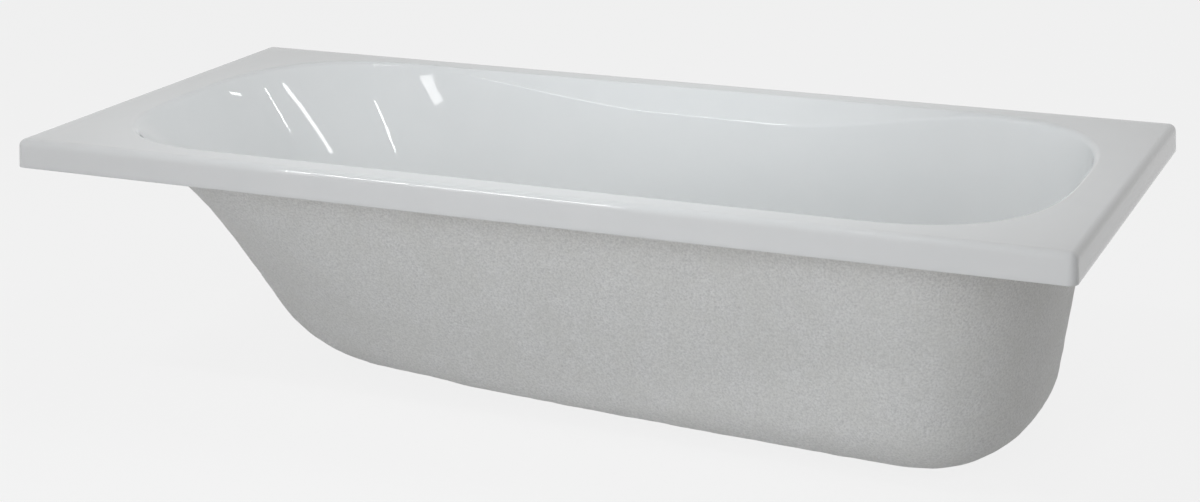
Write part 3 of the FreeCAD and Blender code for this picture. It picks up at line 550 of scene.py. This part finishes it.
# Acrylic skin, 4 mm: the whole visible form in one closed sheet
skin = {"perPart": (130, 150, 130, 150), "perCorner": 20, "cornerSpan": 0.006,
        "thick": 4, "wallRows": 12, "innerStep": 2}
s, turn = chooseStations(skin["perPart"], skin["perCorner"], skin["cornerSpan"])
lowerEdge = rimTop - bath["skirt"] + bath["edgeRound"]
outer = layerRows(s, turn, 0, lowerEdge, skin["wallRows"])
inner = layerRows(s, turn, skin["thick"], lowerEdge, skin["wallRows"])
layer = closedLayer(outer, thinned(inner, skin["innerStep"]))
acrylicMesh = gridMesh("acrylicSurface", layer, True)
addPiece("acrylicSurface", acrylicMesh, acrylic, "tub", ["acrylic_shell"])
print("acrylic skin:", len(s), "stations,", len(acrylicMesh.polygons), "faces")


# Glass fibre backing, 4 mm more, stopped short of the skirt's edge and slightly lumpy outside
backing = {"perPart": (115, 135, 115, 135), "perCorner": 16, "cornerSpan": 0.006,
           "from": 4, "to": 8, "wallRows": 42, "innerStep": 3, "edgeRise": 6,
           "lumpHeight": 0.3, "lumpLength": 38, "lumpSeed": 4,
           "raggedHeight": 1.2, "raggedLength": 16, "raggedSeed": 9}
s, turn = chooseStations(backing["perPart"], backing["perCorner"], backing["cornerSpan"])
lowerEdge = rimTop - bath["skirt"] + backing["edgeRise"]
near = layerRows(s, turn, backing["from"], lowerEdge, backing["wallRows"])
far = layerRows(s, turn, backing["to"], lowerEdge, backing["wallRows"])
outwards = gridNormals(far)
outwards = outwards * np.sign(dot(outwards, far - near))
rimRows = sum(rowCounts[part] for part in ("skirt", "rimRound", "deck", "lip"))
shown = np.arange(len(far)) >= rimRows
swell = lumps(far, backing["lumpLength"], backing["lumpSeed"]) * backing["lumpHeight"]
far = far + outwards * (swell * shown[:, None])[..., None]
ragged = lumps(far[:1], backing["raggedLength"], backing["raggedSeed"])[0]
far[0, :, 2] += ragged * backing["raggedHeight"]
near[0, :, 2] += ragged * backing["raggedHeight"]
layer = closedLayer(thinned(near, backing["innerStep"]), far)
backingMesh = gridMesh("glassFibreSkin", layer, True)
addPiece("glassFibreSkin", backingMesh, glassFibre, "tub", ["fibreglass_backing"])
print("glass fibre backing:", len(backingMesh.polygons), "faces")


# Glass fibre laid over the base board, turned out on to the floor of the shell
wrap = {"headX": -280, "footX": 530, "headHalf": 44, "footHalf": 118, "headRound": 22,
        "footRound": 50, "thick": 2.5, "underRound": 3, "flare": 7, "tuck": 1, "topInset": 0.1,
        "accessRadius": 55, "accessRound": 0.6,
        "arcSteps": 14, "sideSteps": 36, "roundSteps": 7, "wallRows": 3, "flatRows": 6}


def boardOutline(arcSteps, sideSteps):
    # the board's rounded outline and its outward normals: an arc at each corner, a line between
    corners = np.array([[wrap["headX"], -wrap["headHalf"]], [wrap["footX"], -wrap["footHalf"]],
                        [wrap["footX"], wrap["footHalf"]], [wrap["headX"], wrap["headHalf"]]])
    radii = np.array([wrap["headRound"], wrap["footRound"], wrap["footRound"], wrap["headRound"]])
    ways = unit(np.roll(corners, -1, axis=0) - corners)
    aside = np.stack([ways[:, 1], -ways[:, 0]], -1)
    before = np.roll(aside, 1, axis=0)
    centres = corners - radii[:, None] * (before + aside) / (1 + dot(before, aside))
    start = np.arctan2(before[:, 1], before[:, 0])
    swept = np.arccos(dot(before, aside)[:, 0])
    angle = start[:, None] + np.linspace(0, 1, arcSteps) * swept[:, None]
    arcWays = np.stack([np.cos(angle), np.sin(angle)], -1)
    arcs = centres[:, None] + radii[:, None, None] * arcWays
    onward = np.roll(arcs[:, 0], -1, axis=0)
    share = (np.arange(sideSteps) + 1)[:, None] / (sideSteps + 1)
    sides = arcs[:, -1][:, None] + (onward - arcs[:, -1])[:, None] * share
    sideWays = np.repeat(aside[:, None], sideSteps, axis=1)
    return (np.concatenate([arcs, sides], 1).reshape(-1, 2),
            np.concatenate([arcWays, sideWays], 1).reshape(-1, 2))


# the side's profile, as growth out of the outline and height: a round at the bottom, up the
# board's edge, and a flare into the sloping floor of the shell
outline, outwards = boardOutline(wrap["arcSteps"], wrap["sideSteps"])
floorUnder = rimTop - backing["to"] - bath["depth"]
steps = wrap["roundSteps"]
quarter = np.linspace(0, math.pi / 2, steps)
under = wrap["thick"] - wrap["underRound"] * (1 - np.sin(quarter))
underHeight = wrap["underRound"] * (1 - np.cos(quarter))
spread = wrap["thick"] + wrap["flare"] * (1 - np.cos(quarter))
spreadDrop = wrap["flare"] * (1 - np.sin(quarter))
grows = np.concatenate([under, spread, [spread[-1], wrap["topInset"], wrap["topInset"]]])
plan = outline + outwards * grows[:, None, None]
shellUnder = floorUnder - bath["fallShare"] * plan[..., 0]
sideHeights = np.concatenate([
    np.broadcast_to(underHeight[:, None], (steps, len(outline))),
    shellUnder[steps:2 * steps] - spreadDrop[:, None],
    shellUnder[2 * steps:-1] + wrap["tuck"], np.full((1, len(outline)), wrap["thick"])])
sides = np.concatenate([plan, sideHeights[..., None]], -1)
walls = between(sides[steps - 1], sides[steps], wrap["wallRows"])
sides = np.concatenate([sides[:steps], walls, sides[steps:]])

# the access hole's rows, as growth and height, and the flat faces between hole and sides
bearing = unit(outline - [wasteX, 0])
holeRows = np.array([[wrap["accessRound"], 0], [0, wrap["accessRound"]], [0, wrap["thick"]]])
ring = [wasteX, 0] + bearing * (wrap["accessRadius"] + holeRows[:, 0])[:, None, None]
rings = np.concatenate([
    ring, np.broadcast_to(holeRows[:, 1][:, None, None], ring.shape[:2] + (1,))], -1)
rows = np.concatenate([rings[::-1], between(rings[0], sides[0], wrap["flatRows"]), sides,
                       between(sides[-1], rings[-1], wrap["flatRows"])])
wrapMesh = gridMesh("baseWrap", rows, True)
addPiece("baseWrap", wrapMesh, glassFibre, "tub", ["base_laminate"])
print("base wrap:", len(wrapMesh.polygons), "faces")


# Plug cap: a shallow dome on a grooved hub, turned about the waste's axis
plug = {"radius": 31.5, "crown": 1.4, "hub": 16, "lip": 18, "stem": 3, "stemDepth": 3,
        "edgeRound": 0.5, "underRound": (0.3, 0.2), "stations": 96, "domeRows": 14,
        "edgeRows": 4, "crease": 40}
foot, capTop = (corner.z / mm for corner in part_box("plug_cap"))
lipTop, sealTop = (corner.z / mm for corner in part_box("plug_seal"))
share = np.linspace(1, 0, plug["domeRows"])
domeRadius = (plug["radius"] - plug["edgeRound"]) * share
domeHeight = capTop - plug["crown"] * share ** 2
turned = np.linspace(0, math.pi / 2, plug["edgeRows"], endpoint=False)
edgeRadius = plug["radius"] - plug["edgeRound"] * (1 - np.cos(turned))
edgeHeight = domeHeight[0] - plug["edgeRound"] * (1 - np.sin(turned))
stemTop = foot + plug["stemDepth"]
underIn, underUp = plug["underRound"]
profile = np.array([
    (0, stemTop), (plug["stem"], stemTop), (plug["stem"], foot), (plug["lip"], foot),
    (plug["lip"], lipTop), (plug["hub"], lipTop), (plug["hub"], sealTop),
    (plug["radius"] - underIn, sealTop), (plug["radius"], sealTop + underUp)])
profile = np.concatenate([profile, np.stack([edgeRadius, edgeHeight], -1),
                          np.stack([domeRadius, domeHeight], -1)])
angle = np.linspace(0, 2 * math.pi, plug["stations"], endpoint=False)
spun = np.stack([
    wasteX + profile[:, :1] * np.cos(angle), profile[:, :1] * np.sin(angle),
    np.repeat(profile[:, 1:], len(angle), axis=1)], -1)
plugMesh = gridMesh("plugDome", spun, False)
plugMesh.set_sharp_from_angle(angle=math.radians(plug["crease"]))
addPiece("plugDome", plugMesh, chrome, "plug", ["plug_cap"])
print("plug cap turned")


# CAD pieces that keep their shape get their finishes
finishes = {
    "front_rim_rail": timbers["sawnPineAlong"], "rear_rim_rail": timbers["sawnPineAlong"],
    "head_rim_rail": timbers["sawnPineAcross"], "foot_rim_rail": timbers["sawnPineAcross"],
    "base_board": chipboard, "base_bedding": paste, "waste_body": chrome,
    "waste_top_seal": rubber, "waste_bottom_seal": rubber, "plug_seal": rubber,
    "waste_slip_washer": acetal, "cartridge_barrel": acetal, "cartridge_end_cap": acetal,
    "index_cam": acetal, "waste_back_nut": turnedBrass, "plug_stem": turnedBrass,
    "return_spring": springWire,
}
for node, material in finishes.items():
    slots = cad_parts[node].data.materials
    slots.clear()
    slots.append(material)
print("finishes laid on", len(finishes), "nodes")


# Stage: a floor and a world that show the backdrop's colour to the camera, in gloss and through
# glass, and give the object plain soft light. The floor keeps a share of shading, for the shadow,
# and glows less by what the lamps give that share on open floor
stage = {"floorSize": 60, "backdrop": "#F0F0F0", "bounce": "#D8D8D8", "shadeShare": 0.1,
         "openFloorLevel": 0.35, "worldLevel": 0.15}
backdrop = linearColour(stage["backdrop"])


def mixForView(tree, hidden, seen, output):
    # the seen shader for camera, glossy and transmission rays, and the hidden one for all others
    ways = addNode(tree, "LightPath")
    direct = addNode(tree, "Math", {"operation": "MAXIMUM"}, {
        0: ways.outputs["Is Camera Ray"], 1: ways.outputs["Is Glossy Ray"]})
    direct = addNode(tree, "Math", {"operation": "MAXIMUM"}, {
        0: direct.outputs["Value"], 1: ways.outputs["Is Transmission Ray"]})
    either = addNode(tree, "MixShader", None, {
        0: direct.outputs["Value"], 1: hidden.outputs[0], 2: seen.outputs[0]})
    tree.links.new(either.outputs["Shader"], tree.nodes[output].inputs["Surface"])


world = bpy.data.worlds.new("studio")
bpy.context.scene.world = world
world.use_nodes = True
tree = world.node_tree
plain = addNode(tree, "Background", None, {
    "Color": (1, 1, 1, 1), "Strength": stage["worldLevel"]})
pale = addNode(tree, "Background", None, {"Color": backdrop, "Strength": 1})
mixForView(tree, plain, pale, "World Output")

floorMaterial = bpy.data.materials.new("paintedStudioFloor")
floorMaterial.use_nodes = True
tree = floorMaterial.node_tree
tree.nodes.remove(tree.nodes["Principled BSDF"])
shaded = addNode(tree, "BsdfDiffuse", None, {
    "Color": [c * stage["shadeShare"] for c in backdrop[:3]] + [1]})
glow = addNode(tree, "Emission", None, {
    "Color": backdrop, "Strength": 1 - stage["shadeShare"] * stage["openFloorLevel"]})
both = addNode(tree, "AddShader", None, {0: shaded.outputs["BSDF"], 1: glow.outputs["Emission"]})
bounce = addNode(tree, "BsdfDiffuse", None, {"Color": linearColour(stage["bounce"])})
mixForView(tree, bounce, both, "Material Output")
reach = stage["floorSize"] / 2
floorMesh = bpy.data.meshes.new("studioFloor")
floorMesh.from_pydata([(-reach, -reach, 0), (reach, -reach, 0), (reach, reach, 0),
                       (-reach, reach, 0)], [], [(0, 1, 2, 3)])
floorMesh.materials.append(floorMaterial)
floorObject = bpy.data.objects.new("studioFloor", floorMesh)
bpy.context.scene.collection.objects.link(floorObject)


def addLamp(name, width, height, radiance, place):
    # a rectangular lamp that the camera doesn't see; its power is the radiance x pi x area
    lamp = bpy.data.lights.new(name, "AREA")
    lamp.shape = "RECTANGLE"
    lamp.size, lamp.size_y = width, height
    lamp.energy = radiance * math.pi * width * height
    holder = bpy.data.objects.new(name, lamp)
    holder.matrix_world = place
    holder.visible_camera = False
    bpy.context.scene.collection.objects.link(holder)
    return holder


# Ceiling tubes, m, shining straight down: they leave the bright lines on the sloping back, the
# armrest's crest and the front edge. Each has the x and y of both ends, its width and radiance
ceilingHeight = 2.69
tubes = {
    "longTube": ((0.85, 1.12), (1.05, -0.40), 0.08, 11),
    "slimTubeRear": ((1.20, 1.75), (1.54, 0.94), 0.04, 20),
    "slimTubeFront": ((-0.25, -1.18), (0.02, -1.22), 0.06, 20),
    "farTube": ((1.39, 3.57), (1.49, 3.19), 0.04, 16),
    "shortTube": ((-2.39, -3.49), (-2.88, -3.94), 0.2, 7),
    "ridgeTube": ((-1.85, -1.6), (-0.87, -1.6), 0.2, 32),
}
for name, (start, end, width, radiance) in tubes.items():
    start, end = Vector((*start, ceilingHeight)), Vector((*end, ceilingHeight))
    heading = Matrix.Rotation(math.atan2(end.y - start.y, end.x - start.x), 4, "Z")
    place = Matrix.Translation((start + end) / 2) @ heading
    addLamp(name, (end - start).length, width, radiance, place)

# Soft panels, m, that leave no reflection. Each has its middle, the point that it faces, its
# width, height and radiance, and its tint
panels = {
    "endPanel": ((3.4, 2.2, 0.9), (0.6, 0, 0.25), 1.6, 1.2, 2.1, (1.0, 1.0, 1.0)),
    "wallPanel": ((0.0, -0.22, 0.8), (0, 0.3, 0.25), 1.1, 0.25, 1.5, (0.88, 0.96, 1.0)),
    "headPanel": ((0.2, 0, 1.1), (-0.55, 0, 0.2), 0.5, 0.4, 2.2, (0.93, 0.99, 1.0)),
    "frontPanel": ((0.2, -1.45, 0.8), (0.12, -0.3, 0.25), 0.6, 0.4, 3.1, (0.94, 0.97, 1.0)),
    "lowPanel": ((0.3, -6.0, 1.1), (0, 0, 0.2), 4.8, 2.0, 2.2, (0.95, 0.97, 1.0)),
    "rightPanel": ((1.1, -1.7, 1.2), (0.2, 0, 0.25), 0.8, 0.6, 1.5, (1.0, 1.0, 0.98)),
    "leftPanel": ((-4.8, 0.85, 1.2), (0, 0, 0.25), 2.4, 1.8, 1.1, (1.0, 1.0, 1.0)),
    "backPanel": ((0.0, 4.1, 3.1), (0, 0, 0.25), 2.4, 1.8, 1.25, (1.0, 1.0, 1.0)),
}
for name, (middle, aim, width, height, radiance, tint) in panels.items():
    facing = (Vector(aim) - Vector(middle)).to_track_quat("-Z", "Y").to_matrix().to_4x4()
    panel = addLamp(name, width, height, radiance, Matrix.Translation(middle) @ facing)
    panel.data.color = tint
    panel.visible_glossy = False
print("stage lit")


# Camera at the photograph's angle: a long lens, mm, and a place in metres with its height above
# the rim. The angles are in degrees
view = {"lens": 68.97, "sensor": 36, "farthest": 200, "place": (1.2359, -2.9207, 0.7826),
        "azimuth": 22.99, "elevation": 16.85, "roll": -0.35}
lens = bpy.data.cameras.new("studioCamera")
lens.lens = view["lens"]
lens.sensor_width = view["sensor"]
lens.sensor_fit = "HORIZONTAL"
lens.clip_end = view["farthest"]
azimuth, elevation, roll = (math.radians(view[k]) for k in ("azimuth", "elevation", "roll"))
back = Vector((math.sin(azimuth) * math.cos(elevation),
               -math.cos(azimuth) * math.cos(elevation), math.sin(elevation)))
right = (-back).cross(Vector((0, 0, 1))).normalized()
up = right.cross(-back)
across = math.cos(roll) * right + math.sin(roll) * up
upright = -math.sin(roll) * right + math.cos(roll) * up
camera = bpy.data.objects.new("studioCamera", lens)
camera.matrix_world = Matrix((across, upright, back)).transposed().to_4x4()
camera.location = Vector(view["place"]) + Vector((0, 0, cadHigh.z))
bpy.context.scene.collection.objects.link(camera)
bpy.context.scene.camera = camera
bpy.context.scene.view_settings.view_transform = "Standard"
